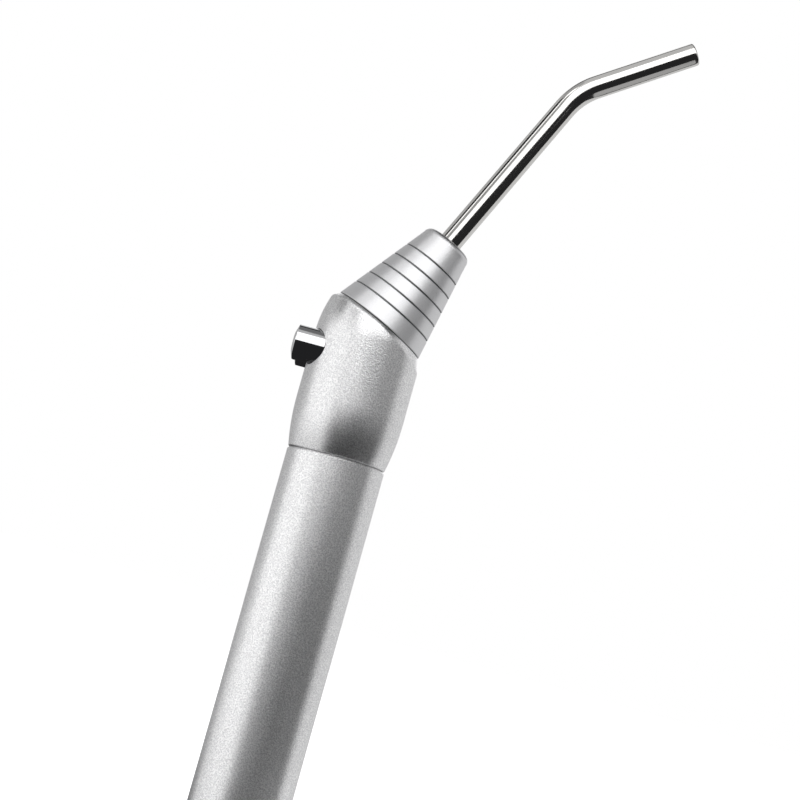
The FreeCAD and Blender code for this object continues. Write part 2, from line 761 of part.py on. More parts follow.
def bent_tube(name, radius, bore, start, setback):
    """A tube along the nozzle's line: straight, one arc, straight. Its outlet end stops short by setback."""
    body = doc.addObject("PartDesign::Body", name)
    path = sketch_in(body, f"{name}_path", "XZ_Plane")
    turn = "bend_angle * 1 deg"
    tangent = "(bend_arc * tan(bend_angle / 2 * 1 deg))"
    outline(path, [
        ("0", start),
        ("0", f"bend_vertex - {tangent}"),
        (f"{tangent} * sin({turn})", f"bend_vertex + {tangent} * cos({turn})", "bend_arc", -1),
        (
            f"(outlet_run - ({setback})) * sin({turn})",
            f"bend_vertex + (outlet_run - ({setback})) * cos({turn})",
        ),
    ], closed=False)
    section = sketch_in(body, f"{name}_section", "XY_Plane")
    section.setExpression("AttachmentOffset.Base.z", bound(start))
    circles(section, [("0", "0")], radius)
    circles(section, [("0", "0")], bore)
    pipe = body.newObject("PartDesign::AdditivePipe", f"{name}_pipe")
    pipe.Profile = section
    pipe.Spine = (path, [f"Edge{number}" for number in (1, 2, 3)])
    path.Visibility = False
    section.Visibility = False
    place(body, "nozzle")
    return body


def make_nozzle():
    tube = bent_tube("tube", "tube_radius", "tube_bore", "tube_start", "0")
    doc.recompute()
    pipe = tube.Tip
    rim = [
        f"Edge{number}" for number, edge in enumerate(pipe.Shape.Edges, start=1)
        if at_outlet(edge) and abs(edge.Curve.Radius - value_of("tube_radius")) < 0.01
    ]
    fillet = tube.newObject("PartDesign::Fillet", "tube_rim")
    fillet.Base = (pipe, rim)
    fillet.setExpression("Radius", bound("outlet_round"))
    holes = []
    for number, direction in enumerate((Vector(0, 1, 0), Vector(1, 0, 0))):
        hole = doc.addObject("Part::Feature", f"tube_air_hole_{number}")
        tilt = FreeCAD.Rotation(Vector(0, 1, 0), value_of("nozzle_tilt"))
        way = tilt.multVec(direction) * value_of("tube_radius + 1")
        middle = frame_point("nozzle", "tube_air_height")
        hole.Shape = Part.makeCylinder(value_of("tube_air_hole"), 2 * way.Length, middle - way, way)
        holes.append(hole)
    keep(combined("Part::Cut", "drilled_tube", tube, holes), "nozzle_tube")
    keep(bent_tube("water_line", "water_radius", "water_bore", "water_start", "water_setback"), "water_tube")
    keep(turned("ferrule", "nozzle", [
        ("water_radius + press_gap", "tube_start - ferrule_lip"),
        ("tube_radius", "tube_start - ferrule_lip"),
        ("tube_radius", "tube_start"),
        ("tube_bore - press_gap", "tube_start"),
        ("tube_bore - press_gap", "tube_start + ferrule_length"),
        ("water_radius + press_gap", "tube_start + ferrule_length"),
    ]), "nozzle_ferrule")


def at_outlet(edge):
    """True for a round edge in the plane of the tube's outlet end."""
    if not isinstance(edge.Curve, Part.Circle):
        return False
    run = value_of("outlet_run")
    turn = math.radians(value_of("bend_angle"))
    end = Vector(run * math.sin(turn), 0, value_of("bend_vertex") + run * math.cos(turn))
    return (edge.Curve.Center - end).Length < 0.01


def make_spray_plug():
    """The ring that centres the water tube at the outlet, with air holes around it."""
    plug = doc.addObject("PartDesign::Body", "plug")
    section = sketch_in(plug, "plug_section", "XY_Plane")
    section.setExpression("AttachmentOffset.Base.z", bound("plug_low"))
    circles(section, [("0", "0")], "tube_bore - press_gap")
    circles(section, [("0", "0")], "water_radius + press_gap")
    pad = plug.newObject("PartDesign::Pad", "plug_pad")
    pad.Profile = section
    pad.setExpression("Length", bound("plug_length"))
    holes = sketch_in(plug, "plug_hole", "XY_Plane")
    circles(holes, [("(tube_bore + water_radius) / 2", "0")], "plug_hole")
    pocket = plug.newObject("PartDesign::Pocket", "plug_pocket")
    pocket.Profile = holes
    pocket.Type = 1
    pocket.Midplane = True
    pattern = plug.newObject("PartDesign::PolarPattern", "plug_holes")
    pattern.Originals = [pocket]
    pattern.Axis = (section, ["N_Axis"])
    pattern.Angle = 360.0
    pattern.Occurrences = SPRAY_HOLES
    plug.Tip = pattern
    place(plug, "outlet")
    keep(plug, "spray_tip_plug")


# ---------------------------------------------------------------- build

make_handle()
make_connector()
make_barb("air", "", "1.6", "0.8")
make_barb("water", "-", "1.35", "0.55")
make_supply("air", "")
make_supply("water", "-")
make_head_shell()
make_valve_body()
for valve in ("air", "water"):
    make_button(valve)
    make_stem(valve)
    make_guide(valve)
    make_spring(valve)
make_nozzle_socket()
make_collet()
make_nozzle_nut()
make_nozzle()
make_spray_plug()
doc.recompute()

failed = [obj.Name for obj in doc.Objects if {"Invalid", "Error"} & set(obj.State)]
failed += [
    node.Label for node in nodes
    if node.Shape.isNull() or not node.Shape.isValid() or len(node.Shape.Solids) != 1
]
if failed:
    raise RuntimeError(f"not built: {failed}")

os.makedirs("parts", exist_ok=True)
for node in nodes:
    node.Shape.exportStep(f"parts/{node.Label}.step")
    print(f"{node.Label}: {node.Shape.Volume:.2f} mm3")
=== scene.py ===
"""Looks of the three-way dental syringe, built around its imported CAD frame. Everything is in metres.

The handle stands along +Z with its lower end on the floor, the buttons face -X, and the nozzle
leans towards +X.
"""

import json
import math

import bpy
from mathutils import Matrix, Quaternion, Vector
from mathutils.geometry import intersect_line_line

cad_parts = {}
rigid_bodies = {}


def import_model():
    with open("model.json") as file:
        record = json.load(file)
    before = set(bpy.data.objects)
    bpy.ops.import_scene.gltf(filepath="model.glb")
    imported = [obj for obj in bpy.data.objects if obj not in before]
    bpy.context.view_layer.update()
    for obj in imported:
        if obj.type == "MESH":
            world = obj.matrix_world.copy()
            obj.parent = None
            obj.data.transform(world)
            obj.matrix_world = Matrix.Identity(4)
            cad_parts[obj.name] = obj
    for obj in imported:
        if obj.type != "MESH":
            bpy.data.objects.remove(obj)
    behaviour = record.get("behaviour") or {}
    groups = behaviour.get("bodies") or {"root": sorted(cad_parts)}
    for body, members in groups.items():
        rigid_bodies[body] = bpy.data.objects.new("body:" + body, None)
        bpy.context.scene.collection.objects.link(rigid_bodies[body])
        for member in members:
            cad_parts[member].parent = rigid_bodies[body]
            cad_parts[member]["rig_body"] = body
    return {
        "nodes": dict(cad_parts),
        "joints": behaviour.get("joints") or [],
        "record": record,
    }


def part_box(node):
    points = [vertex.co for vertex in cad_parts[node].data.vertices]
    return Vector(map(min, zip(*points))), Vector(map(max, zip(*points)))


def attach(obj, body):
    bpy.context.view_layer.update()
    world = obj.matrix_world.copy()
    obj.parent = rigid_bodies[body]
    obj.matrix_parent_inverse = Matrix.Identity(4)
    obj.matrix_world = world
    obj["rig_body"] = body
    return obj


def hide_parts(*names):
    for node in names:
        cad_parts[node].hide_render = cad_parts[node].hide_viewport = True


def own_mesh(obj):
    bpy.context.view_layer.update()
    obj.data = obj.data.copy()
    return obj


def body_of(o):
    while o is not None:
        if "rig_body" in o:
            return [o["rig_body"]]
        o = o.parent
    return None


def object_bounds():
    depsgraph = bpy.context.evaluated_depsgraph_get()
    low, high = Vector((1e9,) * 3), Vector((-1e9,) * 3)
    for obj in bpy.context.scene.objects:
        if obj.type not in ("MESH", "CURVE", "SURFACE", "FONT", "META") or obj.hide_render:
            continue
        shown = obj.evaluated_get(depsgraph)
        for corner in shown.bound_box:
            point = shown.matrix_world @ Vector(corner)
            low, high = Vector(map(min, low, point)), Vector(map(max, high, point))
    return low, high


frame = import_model()
cad_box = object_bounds()

MM = 0.001
nodes = frame["nodes"]
joints = {joint["name"]: joint for joint in frame["joints"]}
NOZZLE_AXIS = Vector(joints["nozzle_swivel"]["axis"])
NOZZLE_SEAT = Vector(joints["nozzle_swivel"]["pos_m"])
OUTLET = next(mount for mount in frame["record"]["mounts"] if mount["name"] == "spray_outlet")
OUTLET_POINT = Vector(OUTLET["pos_m"])
OUTLET_AXIS = Vector(OUTLET["axis"])
BEND_RADIUS = 12 * MM
BEND_ANGLE = NOZZLE_AXIS.angle(OUTLET_AXIS)
BEND_TANGENT = BEND_RADIUS * math.tan(BEND_ANGLE / 2)
BEND_CORNER, _ = intersect_line_line(
    NOZZLE_SEAT, NOZZLE_SEAT + NOZZLE_AXIS, OUTLET_POINT, OUTLET_POINT - OUTLET_AXIS,
)
OUTLET_RUN = (OUTLET_POINT - BEND_CORNER).length
SEAM_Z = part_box("handle_sleeve")[1].z
NUT_RADIUS = 8.55 * MM
NUT_TAPER = math.radians(13.3)
VALVES = ("air", "water")
UP = Vector((0, 0, 1))
RIGHT = Vector((1, 0, 0))
ACROSS = Vector((0, 1, 0))


# ---------------------------------------------------------------- camera

VIEW_AZIMUTH = 3.4
VIEW_ELEVATION = -6.1
VIEW_ROLL = 15.6
VIEW_DISTANCE = 329.6 * MM
SEAM_RIGHT = -10.55 * MM
SEAM_UP = -9.81 * MM
LENS = 90
SENSOR_WIDTH = 36
CLIP_START = 0.01
CLIP_END = 20


def make_camera():
    """Looks slightly up at the head; the roll makes the handle lean right as it does in the hand."""
    azimuth, elevation = math.radians(VIEW_AZIMUTH), math.radians(VIEW_ELEVATION)
    back = Vector((
        math.sin(azimuth) * math.cos(elevation),
        -math.cos(azimuth) * math.cos(elevation),
        math.sin(elevation),
    ))
    level = back.to_track_quat("Z", "Y")
    turn = level @ Matrix.Rotation(math.radians(VIEW_ROLL), 3, "Z").to_quaternion()
    right, up = turn @ Vector((1, 0, 0)), turn @ Vector((0, 1, 0))
    data = bpy.data.cameras.new("camera")
    data.lens = LENS
    data.sensor_width = SENSOR_WIDTH
    data.clip_start = CLIP_START
    data.clip_end = CLIP_END
    camera = bpy.data.objects.new("camera", data)
    camera.rotation_mode = "QUATERNION"
    camera.rotation_quaternion = turn
    camera.location = Vector((0, 0, SEAM_Z)) - right * SEAM_RIGHT - up * SEAM_UP + back * VIEW_DISTANCE
    bpy.context.scene.collection.objects.link(camera)
    bpy.context.scene.camera = camera


# ---------------------------------------------------------------- light and floor

FLOOR_DROP = 0.05 * MM
FLOOR_HALF = 6.0
GLOW_NEAR = 0.08
GLOW_FAR = 0.30
GLOW_LOW = 0.55
GLOW_HIGH = 1.05
AIM_Z = 110 * MM
ENERGY_PER_RADIANCE = 4
BOUNCE_HEIGHT = 1 * MM
ROOM_GREY = (0.02, 0.02, 0.021, 1)
WHITE = (1, 1, 1, 1)


def softbox(name, azimuth, elevation, distance, width, height, radiance, roll=0):
    """A rectangular area light that faces the head.

    Azimuth 0 is the -Y side and +90 the +X side, in degrees. Roll lifts its right side.
    """
    azimuth, elevation = math.radians(azimuth), math.radians(elevation)
    out = Vector((
        math.sin(azimuth) * math.cos(elevation),
        -math.cos(azimuth) * math.cos(elevation),
        math.sin(elevation),
    ))
    data = bpy.data.lights.new(name, "AREA")
    data.shape = "RECTANGLE"
    data.size, data.size_y = width, height
    data.energy = ENERGY_PER_RADIANCE * width * height * radiance
    lamp = bpy.data.objects.new(name, data)
    lamp.location = Vector((0, 0, AIM_Z)) + out * distance
    lamp.rotation_mode = "QUATERNION"
    lamp.rotation_quaternion = out.to_track_quat("Z", "Y") @ Quaternion((0, 0, 1), math.radians(roll))
    lamp.visible_camera = False
    bpy.context.scene.collection.objects.link(lamp)
    return lamp


def make_lights():
    """A big box in front and above, dark space low at the front, and weaker panels round the rest."""
    softbox("front_box", 6, 34, 2.40, 3.08, 2.32, 1.10, roll=12)
    softbox("front_low", 9, 20, 2.40, 3.00, 1.00, 0.18, roll=12)
    softbox("ceiling", 0, 84, 1.20, 1.40, 1.20, 0.13)
    softbox("left_front", -62, 6, 1.20, 1.86, 0.58, 0.86)
    softbox("left_low", -78, -22, 0.60, 1.10, 0.36, 0.48)
    softbox("left_strip", -64, 36, 0.60, 0.11, 0.40, 1.10)
    softbox("left_gap", -44, 36, 1.20, 0.56, 0.80, 0.26)
    softbox("left_sky", -72, 62, 1.20, 1.70, 0.76, 0.32)
    softbox("left_back", -136, 16, 0.90, 1.30, 0.90, 0.36)
    softbox("right_fill", 64, 20, 0.90, 0.80, 0.66, 0.30)
    softbox("right_panel", 134, 8, 0.90, 1.50, 1.55, 0.52)
    softbox("back_wall", 178, 32, 1.50, 0.90, 1.30, 0.62)
    bounce = softbox("floor_bounce", 90, 0, 0.12, 0.20, 0.22, 0.32)
    bounce.location.z = cad_box[0].z + BOUNCE_HEIGHT
    bounce.rotation_quaternion = (-UP).to_track_quat("Z", "Y")


def make_world():
    """White behind the object, and a dark studio for what the metal reflects outside the lamps."""
    world = bpy.data.worlds.new("studio")
    world.use_nodes = True
    tree = world.node_tree
    tree.nodes.clear()
    path = tree.nodes.new("ShaderNodeLightPath")
    room = tree.nodes.new("ShaderNodeBackground")
    room.inputs["Color"].default_value = ROOM_GREY
    paper = tree.nodes.new("ShaderNodeBackground")
    paper.inputs["Color"].default_value = WHITE
    mix = tree.nodes.new("ShaderNodeMixShader")
    out = tree.nodes.new("ShaderNodeOutputWorld")
    tree.links.new(path.outputs["Is Camera Ray"], mix.inputs["Fac"])
    tree.links.new(room.outputs[0], mix.inputs[1])
    tree.links.new(paper.outputs[0], mix.inputs[2])
    tree.links.new(mix.outputs[0], out.inputs["Surface"])
    bpy.context.scene.world = world
    bpy.context.scene.view_settings.view_transform = "Standard"


def make_floor():
    """White paper: it takes the soft shadow near the foot, and is as white as the world further out."""
    half = FLOOR_HALF
    level = cad_box[0].z - FLOOR_DROP
    corners = [(-half, -half, level), (half, -half, level), (half, half, level), (-half, half, level)]
    mesh = bpy.data.meshes.new("floor")
    mesh.from_pydata(corners, [], [(0, 1, 2, 3)])
    floor = bpy.data.objects.new("floor", mesh)
    bpy.context.scene.collection.objects.link(floor)
    material, add = new_material("floor_paper")
    place = add("TexCoord").outputs["Object"]
    distance = add("VectorMath", {0: place}, operation="LENGTH").outputs["Value"]
    glow = add("MapRange", {
        "Value": distance, "From Min": GLOW_NEAR, "From Max": GLOW_FAR,
        "To Min": GLOW_LOW, "To Max": GLOW_HIGH,
    }, interpolation_type="SMOOTHSTEP")
    finish_material(material, add, {
        "Base Color": (0.85, 0.85, 0.85, 1), "Roughness": 0.9, "Specular IOR Level": 0.0,
        "Emission Color": WHITE, "Emission Strength": glow.outputs["Result"],
    })
    mesh.materials.append(material)
    floor.visible_glossy = False
    floor.visible_diffuse = False


# ---------------------------------------------------------------- materials

def new_material(name):
    """A material with an empty node tree, and a function that adds a node and links or sets its inputs."""
    material = bpy.data.materials.new(name)
    material.use_nodes = True
    tree = material.node_tree
    tree.nodes.clear()

    def add(kind, inputs=None, **settings):
        node = tree.nodes.new(f"ShaderNode{kind}")
        for key, value in settings.items():
            setattr(node, key, value)
        for key, value in (inputs or {}).items():
            if isinstance(value, bpy.types.NodeSocket):
                tree.links.new(value, node.inputs[key])
            else:
                node.inputs[key].default_value = value
        return node

    return material, add


def finish_material(material, add, inputs):
    """Ends the node tree in one Principled shader with these inputs."""
    shader = add("BsdfPrincipled", inputs)
    add("OutputMaterial", {"Surface": shader.outputs[0]})
    return material


def shades(add, factor, colour, uneven):
    """The colour, lighter and darker by the share uneven as the factor goes from dark to light."""
    node = add("ValToRGB", {"Fac": factor})
    for element, position, share in zip(node.color_ramp.elements, (0.35, 0.65), (1 - uneven, 1 + uneven)):
        element.position = position
        element.color = (*(min(1, c * share) for c in colour), 1)
    return node.outputs["Color"]


def spread(add, factor, low, high):
    """A number that goes from low to high as the factor goes from 0 to 1."""
    return add("MapRange", {"Value": factor, "To Min": low, "To Max": high}).outputs["Result"]


def bare_metal(name, colour, roughness, grain, depth, uneven=0.04):
    """A bare metal: grain is the size of its texture, depth the height of its bumps."""
    material, add = new_material(name)
    place = add("TexCoord").outputs["Object"]
    fine = add("TexNoise", {"Vector": place, "Scale": 1 / grain, "Detail": 2.0}).outputs["Fac"]
    broad = add("TexNoise", {"Vector": place, "Scale": 0.04 / grain, "Detail": 3.0}).outputs["Fac"]
    base = shades(add, fine, colour, uneven)
    rough = spread(add, broad, roughness * 0.85, roughness * 1.15)
    bump = add("Bump", {"Height": fine, "Distance": depth}).outputs["Normal"]
    return finish_material(material, add, {
        "Base Color": base, "Roughness": rough, "Metallic": 1.0, "Normal": bump,
    })


BLAST_GRAIN = 0.15 * MM
BLAST_PIT = 0.19 * MM
BLAST_DEPTH = 0.023 * MM
# Share of painted shade that darkens the deep pits and lightens the raised grain.
BLAST_PIT_SHADE = 0.25
# At 0.26 to 0.29 the grain came out in patches when rendered. This range was mostly even.
BLAST_ROUGHNESS = (0.282, 0.305)


def blasted_aluminium():
    """Bead-blasted and clear anodised: overlapping pits with painted shade, darker where they are deep, a
    little uneven.
    """
    material, add = new_material("blasted_aluminium")
    place = add("TexCoord").outputs["Object"]
    grain = add("TexNoise", {"Vector": place, "Scale": 1 / BLAST_GRAIN, "Detail": 1.5}).outputs["Fac"]
    pits = add("TexVoronoi", {"Vector": place, "Scale": 1 / BLAST_PIT}, feature="SMOOTH_F1")
    broad = add("TexNoise", {"Vector": place, "Scale": 120.0, "Detail": 3.0}).outputs["Fac"]
    height = add("Math", {0: grain, 1: 0.6, 2: pits.outputs["Distance"]}, operation="MULTIPLY_ADD")
    height = height.outputs["Value"]
    bump = add("Bump", {"Height": height, "Distance": BLAST_DEPTH}).outputs["Normal"]
    # Painted shade: the base colour is darker where the pits' height is low.
    painted_pit_shade = add("Math", {0: height, 1: 0.7}, operation="MULTIPLY").outputs["Value"]
    base = shades(add, painted_pit_shade, (0.865, 0.865, 0.88), BLAST_PIT_SHADE)
    rough = spread(add, broad, *BLAST_ROUGHNESS)
    return finish_material(material, add, {
        "Base Color": base, "Roughness": rough, "Metallic": 1.0, "Normal": bump,
    })


def along_nozzle(add, place):
    """(height along the nozzle's axis, distance from that axis) of the shaded point."""
    from_seat = add("VectorMath", {0: place, 1: NOZZLE_SEAT}, operation="SUBTRACT").outputs["Vector"]
    height = add("VectorMath", {0: from_seat, 1: NOZZLE_AXIS}, operation="DOT_PRODUCT").outputs["Value"]
    across = add("VectorMath", {0: from_seat, 1: NOZZLE_AXIS}, operation="CROSS_PRODUCT").outputs["Vector"]
    distance = add("VectorMath", {0: across}, operation="LENGTH").outputs["Value"]
    return height, distance


# Depths below the cone where the painted shade in the grooves starts and is full, and its grey.
GROOVE_START = 0.02 * MM
GROOVE_FULL = 0.16 * MM
GROOVE_SHADE_GREY = (0.37, 0.37, 0.38, 1)


def turned_aluminium(cone_radius, cone_slope):
    """Satin turned aluminium: faint rings from the tool, and grooves darkened by painted shade."""
    material, add = new_material("turned_aluminium")
    place = add("TexCoord").outputs["Object"]
    height, distance = along_nozzle(add, place)
    rings = add("TexNoise", {"W": height, "Scale": 9000.0, "Detail": 2.0}, noise_dimensions="1D")
    grain = add("TexNoise", {"Vector": place, "Scale": 5000.0, "Detail": 1.0}).outputs["Fac"]
    surface = add("Math", {0: height, 1: -cone_slope, 2: cone_radius}, operation="MULTIPLY_ADD")
    depth = add("Math", {0: surface.outputs["Value"], 1: distance}, operation="SUBTRACT")
    # Painted shade: the colour turns grey where the point lies below the cone's surface, in the grooves.
    painted_groove_shade = add("MapRange", {
        "Value": depth.outputs["Value"], "From Min": GROOVE_START, "From Max": GROOVE_FULL,
        "To Min": 0.0, "To Max": 1.0,
    }, interpolation_type="SMOOTHSTEP").outputs["Result"]
    metal = shades(add, grain, (0.80, 0.80, 0.81), 0.03)
    base = add("Mix", {"Factor": painted_groove_shade, "A": metal, "B": GROOVE_SHADE_GREY}, data_type="RGBA")
    texture = add("Math", {0: grain, 1: 0.5, 2: rings.outputs["Fac"]}, operation="MULTIPLY_ADD")
    bump = add("Bump", {"Height": texture.outputs["Value"], "Distance": 0.004 * MM}).outputs["Normal"]
    return finish_material(material, add, {
        "Base Color": base.outputs[2], "Roughness": spread(add, grain, 0.36, 0.43),
        "Metallic": 1.0, "Normal": bump,
    })


DRAWN_SHORTENED = 0.985
DRAWN_GRAIN = 0.14 * MM
DRAWN_MIX = 3 * MM


def polished_steel():
    """Drawn and polished tube: faint lines along each straight leg, and a few soft smears."""
    material, add = new_material("polished_steel")
    place = add("TexCoord").outputs["Object"]
    lines = []
    for leg in (NOZZLE_AXIS, OUTLET_AXIS):
        along = add("VectorMath", {0: place, 1: leg}, operation="DOT_PRODUCT").outputs["Value"]
        share = add("Math", {0: along, 1: -DRAWN_SHORTENED}, operation="MULTIPLY").outputs["Value"]
        shift = add("VectorMath", {0: leg, "Scale": share}, operation="SCALE").outputs["Vector"]
        drawn = add("VectorMath", {0: place, 1: shift}, operation="ADD").outputs["Vector"]
        line = add("TexNoise", {"Vector": drawn, "Scale": 1 / DRAWN_GRAIN, "Detail": 2.0})
        lines.append(line.outputs["Fac"])
    from_bend = add("VectorMath", {0: place, 1: BEND_CORNER}, operation="SUBTRACT").outputs["Vector"]
    past = add("VectorMath", {0: from_bend, 1: NOZZLE_AXIS + OUTLET_AXIS}, operation="DOT_PRODUCT")
    second = add("MapRange", {
        "Value": past.outputs["Value"], "From Min": -DRAWN_MIX, "From Max": DRAWN_MIX,
    }).outputs["Result"]
    streak = add("Mix", {"Factor": second, "A": lines[0], "B": lines[1]}, data_type="FLOAT").outputs[0]
    smear = add("TexNoise", {"Vector": place, "Scale": 160.0, "Detail": 4.0}).outputs["Fac"]
    rough = add("Math", {0: streak, 1: 0.05, 2: spread(add, smear, 0.05, 0.10)}, operation="MULTIPLY_ADD")
    bump = add("Bump", {"Height": streak, "Distance": 0.0012 * MM}).outputs["Normal"]
    return finish_material(material, add, {
        "Base Color": shades(add, streak, (0.76, 0.75, 0.73), 0.05),
        "Roughness": rough.outputs["Value"], "Metallic": 1.0, "Normal": bump,
    })


def plastic(name, colour, roughness, grain, depth):
    """A moulded plastic or rubber: grain is the size of its texture, depth the height of its bumps."""
    material, add = new_material(name)
    place = add("TexCoord").outputs["Object"]
    fine = add("TexNoise", {"Vector": place, "Scale": 1 / grain, "Detail": 3.0}).outputs["Fac"]
    bump = add("Bump", {"Height": fine, "Distance": depth}).outputs["Normal"]
    return finish_material(material, add, {
        "Base Color": shades(add, fine, colour, 0.10),
        "Roughness": spread(add, fine, roughness * 0.85, roughness * 1.15),
        "Normal": bump,
    })


def make_materials():
    """The finishes, under the record's slot names."""
    return {
        "blasted_aluminium": blasted_aluminium(),
        "turned_aluminium": turned_aluminium(NUT_RADIUS, math.tan(NUT_TAPER)),
        "polished_steel": polished_steel(),
        "chrome": bare_metal("chrome", (0.70, 0.70, 0.71), 0.07, 0.3 * MM, 0.0004 * MM, 0.02),
        "spring_steel": bare_metal("spring_steel", (0.52, 0.52, 0.53), 0.28, 0.1 * MM, 0.002 * MM),
        "plated_brass": bare_metal("plated_brass", (0.70, 0.68, 0.62), 0.30, 0.2 * MM, 0.003 * MM),
        "brass": bare_metal("brass", (0.80, 0.62, 0.30), 0.28, 0.2 * MM, 0.003 * MM),
        "white_plastic": plastic("white_plastic", (0.86, 0.86, 0.84), 0.45, 0.4 * MM, 0.002 * MM),
        "black_plastic": plastic("black_plastic", (0.03, 0.03, 0.032), 0.42, 0.3 * MM, 0.006 * MM),
        "black_rubber": plastic("black_rubber", (0.018, 0.018, 0.019), 0.55, 0.2 * MM, 0.003 * MM),
    }


def dress_cad(materials):
    """Gives each shown CAD node the finish of its record slot."""
    for part in frame["record"]["subparts"]:
        node = nodes[part["node"]]
        node.data.materials.clear()
        node.data.materials.append(materials[part["material_slot"]])


# ---------------------------------------------------------------- turned pieces

MICRON = 0.001 * MM
SEAM_HALF = 2 * MICRON
CORNER_TURN = math.radians(25)
CORNER_STEPS = 4


def seam_outline(node, origin, axis, side):
    """(points as radius and height, closed) of a turned CAD node, read along its seam.

    The points go counter-clockwise. A hole that crosses the seam would cut the outline short, so a
    node with a cross hole, such as a button guide, keeps its CAD mesh.
    """
    mesh = nodes[node].data
    across = axis.cross(side)
    places = {}
    for vertex in mesh.vertices:
        out = vertex.co - origin
        radius, height = out.dot(side), out.dot(axis)
        if radius > MICRON and abs(out.dot(across)) < SEAM_HALF:
            places[vertex.index] = (round(radius / MICRON), round(height / MICRON))
    links = {}
    for edge in mesh.edges:
        first, second = (places.get(index) for index in edge.vertices)
        if first and second and first != second:
            links.setdefault(first, set()).add(second)
            links.setdefault(second, set()).add(first)
    ends = sorted(point for point in links if len(links[point]) == 1)
    walk = [ends[0] if ends else min(links)]
    while ahead := sorted(links[walk[-1]].difference(walk)):
        walk.append(ahead[0])
    if ends:
        walk = [(0, walk[0][1]), *walk, (0, walk[-1][1])]
    points = [Vector(point) * MICRON for point in walk]
    if sum(a.cross(b) for a, b in zip(points, points[1:] + points[:1])) < 0:
        points.reverse()
    return points, not ends


def outward(start, end):
    """The unit normal on the right of the way from start to end."""
    way = (end - start).normalized()
    return Vector((way.y, -way.x))


def eased(points, closed, radius, step):
    """(point, normal) pairs along an outline, with its corners rounded and its long runs divided."""
    count = len(points)
    ring = []
    for index, here in enumerate(points):
        before, after = points[index - 1], points[(index + 1) % count]
        if not closed and index in (0, count - 1):
            ring.append((here, outward(here, after) if index == 0 else outward(before, here)))
            continue
        normals = outward(before, here), outward(here, after)
        lengths = (here - before).length, (after - here).length
        turn = normals[0].angle_signed(normals[1])
        if abs(turn) < CORNER_TURN:
            ring.append((here, (normals[0] * lengths[0] + normals[1] * lengths[1]).normalized()))
            continue
        reach = min(radius * math.tan(abs(turn) / 2), 0.4 * min(lengths))
        bulge = math.copysign(reach / math.tan(abs(turn) / 2), normals[0].cross(normals[1]))
        centre = here - (here - before).normalized() * reach - normals[0] * bulge
        for number in range(CORNER_STEPS + 1):
            normal = normals[0].slerp(normals[1], number / CORNER_STEPS)
            ring.append((centre + normal * bulge, normal))
    divided = []
    pairs = zip(ring, ring[1:] + ring[:1]) if closed else zip(ring, ring[1:])
    for (start, normal), (end, _) in pairs:
        divided.append((start, normal))
        parts = math.ceil((end - start).length / step)
        divided += [(start.lerp(end, part / parts), outward(start, end)) for part in range(1, parts)]
    return divided if closed else divided + [ring[-1]]


def spin(ring, closed, sides, frame_at):
    """(vertices, faces, normals) of the outline turned about the line that frame_at(height) gives."""
    vertices, normals, rows = [], [], []
    for (radius, height), (out, along) in ring:
        centre, side, across, axis = frame_at(height)
        row = []
        for number in range(sides if radius > MICRON else 1):
            angle = 2 * math.pi * number / sides
            spoke = side * math.cos(angle) + across * math.sin(angle)
            row.append(len(vertices))
            vertices.append(centre + spoke * radius)
            normals.append((spoke * out + axis * along).normalized())
        rows.append(row)
    faces = []
    for low, high in zip(rows, rows[1:] + rows[:1] if closed else rows[1:]):
        for number in range(sides):
            after = (number + 1) % sides
            if len(low) == 1:
                faces.append((low[0], high[after], high[number]))
            elif len(high) == 1:
                faces.append((low[number], low[after], high[0]))
            else:
                faces.append((low[number], low[after], high[after], high[number]))
    return vertices, faces, normals


def stand_in(node, mesh):
    """A piece with this mesh that stands for a CAD node: same body, same slot."""
    part = next(part for part in frame["record"]["subparts"] if part["node"] == node)
    mesh.materials.append(materials[part["material_slot"]])
    piece = bpy.data.objects.new(f"{node}_fine", mesh)
    bpy.context.scene.collection.objects.link(piece)
    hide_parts(node)
    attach(piece, body_of(nodes[node])[0])
    return piece


def turned_piece(node, origin, axis, side, sides, edge, step=3 * MM):
    """Replaces a turned CAD node by a finer mesh of its outline, with corners rounded by edge."""
    points, closed = seam_outline(node, origin, axis, side)
    across = axis.cross(side)
    ring = eased(points, closed, edge, step)
    vertices, faces, normals = spin(
        ring, closed, sides, lambda height: (origin + axis * height, side, across, axis),
    )
    mesh = bpy.data.meshes.new(f"{node}_fine")
    mesh.from_pydata(vertices, [], faces)
    mesh.shade_smooth()
    mesh.normals_split_custom_set_from_vertices(normals)
    return stand_in(node, mesh)


def middle_line(node, along):
    """A point on the node's own axis, in the plane through the origin across that axis."""
    low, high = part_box(node)
    middle = (low + high) / 2
    return middle - along * middle.dot(along)


def make_turned_pieces():
    """The handle's, nozzle's and valves' turned pieces, with each one's edge radius in millimetres."""
    origin = Vector((0, 0, 0))
    for node, edge in (("handle_sleeve", 0.08), ("rear_bush", 0.12)):
        turned_piece(node, origin, UP, RIGHT, 192, edge * MM)
    for node in ("air_supply_tube", "water_supply_tube", "hose_barb_air", "hose_barb_water"):
        turned_piece(node, middle_line(node, UP), UP, RIGHT, 64, 0.05 * MM)
    nozzle_side = Vector((NOZZLE_AXIS.z, 0, -NOZZLE_AXIS.x))
    turned_piece("nozzle_nut", NOZZLE_SEAT, NOZZLE_AXIS, nozzle_side, 192, 0.05 * MM, 2 * MM)
    turned_piece("slip_washer", NOZZLE_SEAT, NOZZLE_AXIS, nozzle_side, 96, 0.06 * MM)
    turned_piece("nozzle_ferrule", NOZZLE_SEAT, NOZZLE_AXIS, nozzle_side, 64, 0.04 * MM)
    for valve in VALVES:
        for node, edge in ((f"button_{valve}", 0.12), (f"valve_stem_{valve}", 0.04)):
            turned_piece(node, middle_line(node, RIGHT), -RIGHT, UP, 128, edge * MM)


# ---------------------------------------------------------------- bent tube and springs

